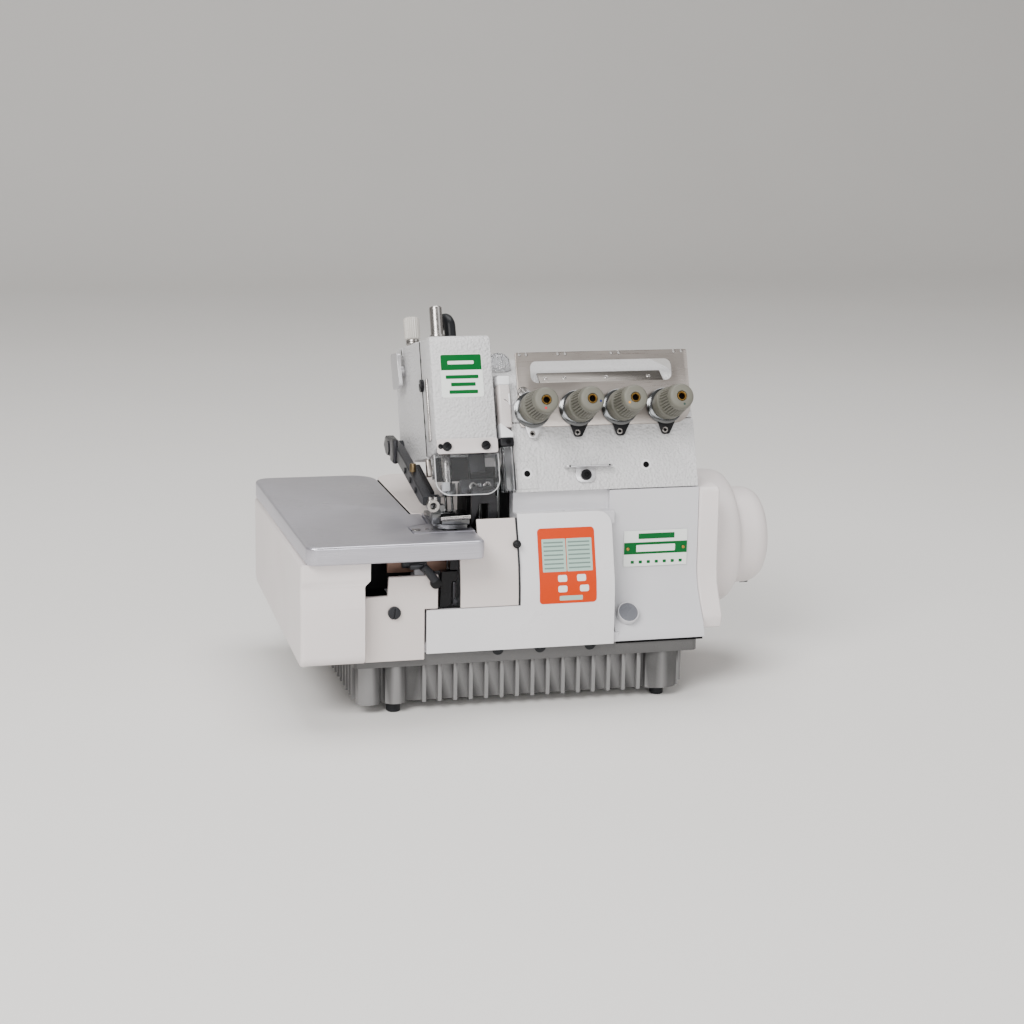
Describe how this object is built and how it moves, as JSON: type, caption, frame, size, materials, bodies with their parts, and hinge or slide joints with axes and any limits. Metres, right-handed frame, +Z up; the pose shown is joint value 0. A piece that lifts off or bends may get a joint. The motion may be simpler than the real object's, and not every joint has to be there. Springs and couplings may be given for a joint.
{
  "type": "overlock sewing machine",
  "caption": "Free-standing overlock machine: ribbed base, swing-away cloth plate and end cover, leaning head and arm, thread tension knobs, drop-front looper cover and direct-drive motor.",
  "frame": {"origin": "centre of the whole machine in plan, on the plane its rubber feet stand on", "axes": "+X towards the handwheel at the right end, +Y from the operator towards the back, +Z up"},
  "size_m": [0.3726, 0.2388, 0.2785],
  "materials": {
    "cast_base": "fine-sand cast grey",
    "machine_paint": "light grey-white textured enamel",
    "white_plastic": "warm white satin",
    "cream_paint": "cream satin enamel",
    "plate_steel": "brushed, bluish silver",
    "bright_steel": "polished to brushed",
    "dark_steel": "blackened steel",
    "knob_plastic": "olive grey, matt",
    "black_rubber": "matt black",
    "clear_plastic": "clear acrylic",
    "grey_plastic": "translucent grey",
    "name_plate": "printed plate, no lettering"
  },
  "bodies": {
    "root": {"arm_casting": "machine_paint", "arm_top_cover": "machine_paint", "base_casting": "cast_base", "bed_casting": "machine_paint", "bed_plate": "cream_paint", "face_cover": "machine_paint", "front_panel": "cream_paint", "guard_bracket": "clear_plastic", "guide_bracket": "bright_steel", "head_casting": "machine_paint", "lower_knife": "bright_steel", "motor_adaptor": "white_plastic", "motor_housing": "white_plastic", "name_plate": "name_plate", "needle_bar_guard": "bright_steel", "needle_plate": "bright_steel", "oil_elbow": "black_rubber", "oil_window": "clear_plastic", "panel_screw": "dark_steel", "plate_hinge": "dark_steel", "rubber_foot_1": "black_rubber", "rubber_foot_2": "black_rubber", "rubber_foot_3": "black_rubber", "rubber_foot_4": "black_rubber", "sight_plug": "grey_plastic", "tension_discs_1": "bright_steel", "tension_discs_2": "bright_steel", "tension_discs_3": "bright_steel", "tension_discs_4": "bright_steel", "tension_plate": "bright_steel", "thread_channel": "white_plastic", "thread_clamp": "dark_steel", "thread_tube": "clear_plastic"},
    "wheel": {"handwheel": "white_plastic"},
    "needle_drive": {"needle_bar": "bright_steel", "needle_clamp": "bright_steel"},
    "lower_looper_arm": {"lower_looper": "bright_steel"},
    "upper_looper_arm": {"upper_looper": "bright_steel"},
    "knife": {"upper_knife": "bright_steel"},
    "feed": {"feed_dog": "bright_steel"},
    "presser": {"presser_arm": "dark_steel", "presser_foot": "bright_steel"},
    "needle_shield": {"eye_guard": "clear_plastic"},
    "lifter": {"lifter_lever": "bright_steel"},
    "pressure_adjuster": {"pressure_screw": "clear_plastic"},
    "plate_unit": {"cloth_plate": "plate_steel", "side_cover": "white_plastic"},
    "cover_carrier": {"cover_slide": "dark_steel"},
    "cover": {"looper_cover": "machine_paint", "chip_guard": "cream_paint"},
    "tension_1": {"tension_knob_1": "knob_plastic"},
    "tension_2": {"tension_knob_2": "knob_plastic"},
    "tension_3": {"tension_knob_3": "knob_plastic"},
    "tension_4": {"tension_knob_4": "knob_plastic"}
  },
  "joints": [
    {"name": "handwheel_spin", "type": "hinge", "parent": "root", "child": "wheel", "pos_m": [0.15855, 0.00263, 0.097], "axis": [1, 0, 0], "continuous": true},
    {"name": "needle_stroke", "type": "slide", "parent": "root", "child": "needle_drive", "axis": [0, 0.342, 0.9397], "range_m": [-0.01, 0.0145]},
    {"name": "lower_looper_swing", "type": "hinge", "parent": "root", "child": "lower_looper_arm", "pos_m": [-0.08225, -0.05037, 0.066], "axis": [0, 1, 0], "range_deg": [-8, 11]},
    {"name": "upper_looper_swing", "type": "hinge", "parent": "root", "child": "upper_looper_arm", "pos_m": [-0.04025, -0.06837, 0.066], "axis": [0, 1, 0], "range_deg": [-11, 8]},
    {"name": "knife_stroke", "type": "slide", "parent": "root", "child": "knife", "axis": [0, 0, 1], "range_m": [-0.0041, 0.0059]},
    {"name": "feed_stroke", "type": "slide", "parent": "root", "child": "feed", "axis": [0, 1, 0], "range_m": [-0.0011, 0.0015]},
    {"name": "presser_lift", "type": "hinge", "parent": "root", "child": "presser", "pos_m": [-0.09425, 0.04763, 0.1645], "axis": [-1, 0, 0], "range_deg": [0, 3], "stiffness_Nm_per_rad": 2, "springref_deg": -11.46},
    {"name": "needle_shield_swing", "type": "hinge", "parent": "root", "child": "needle_shield", "pos_m": [-0.06145, -0.07117, 0.18045], "axis": [-1, 0, 0], "range_deg": [0, 110]},
    {"name": "lifter_swing", "type": "hinge", "parent": "root", "child": "lifter", "pos_m": [-0.08895, 0.0465, 0.22275], "axis": [1, 0, 0], "range_deg": [-20, 20]},
    {"name": "pressure_adjust", "type": "hinge", "parent": "root", "child": "pressure_adjuster", "pos_m": [-0.07525, 0.04725, 0.24238], "axis": [0, 0.342, 0.9397], "range_deg": [-720, 720]},
    {"name": "tension_adjust_1", "type": "hinge", "parent": "root", "child": "tension_1", "pos_m": [-0.00935, -0.0577, 0.21013], "axis": [0, -0.9397, 0.342], "range_deg": [-540, 540]},
    {"name": "tension_adjust_2", "type": "hinge", "parent": "root", "child": "tension_2", "pos_m": [0.02415, -0.0577, 0.21013], "axis": [0, -0.9397, 0.342], "range_deg": [-540, 540]},
    {"name": "tension_adjust_3", "type": "hinge", "parent": "root", "child": "tension_3", "pos_m": [0.05575, -0.0577, 0.21013], "axis": [0, -0.9397, 0.342], "range_deg": [-540, 540]},
    {"name": "tension_adjust_4", "type": "hinge", "parent": "root", "child": "tension_4", "pos_m": [0.09005, -0.0577, 0.21013], "axis": [0, -0.9397, 0.342], "range_deg": [-540, 540]},
    {"name": "plate_swing", "type": "hinge", "parent": "root", "child": "plate_unit", "pos_m": [-0.17625, 0.09863, 0.117], "axis": [0, 0, -1], "range_deg": [0, 90]},
    {"name": "cover_draw", "type": "slide", "parent": "root", "child": "cover_carrier", "axis": [1, 0, 0], "range_m": [0, 0.007]},
    {"name": "cover_tip", "type": "hinge", "parent": "cover_carrier", "child": "cover", "pos_m": [-0.02625, -0.09587, 0.0456], "axis": [1, 0, 0], "range_deg": [0, 90]}
  ],
  "couplings": [
    {"joint": "lower_looper_swing", "follows": "needle_stroke", "rad_per_m": 12},
    {"joint": "upper_looper_swing", "follows": "needle_stroke", "rad_per_m": -12},
    {"joint": "knife_stroke", "follows": "needle_stroke", "ratio": 0.4},
    {"joint": "feed_stroke", "follows": "needle_stroke", "ratio": 0.1}
  ]
}
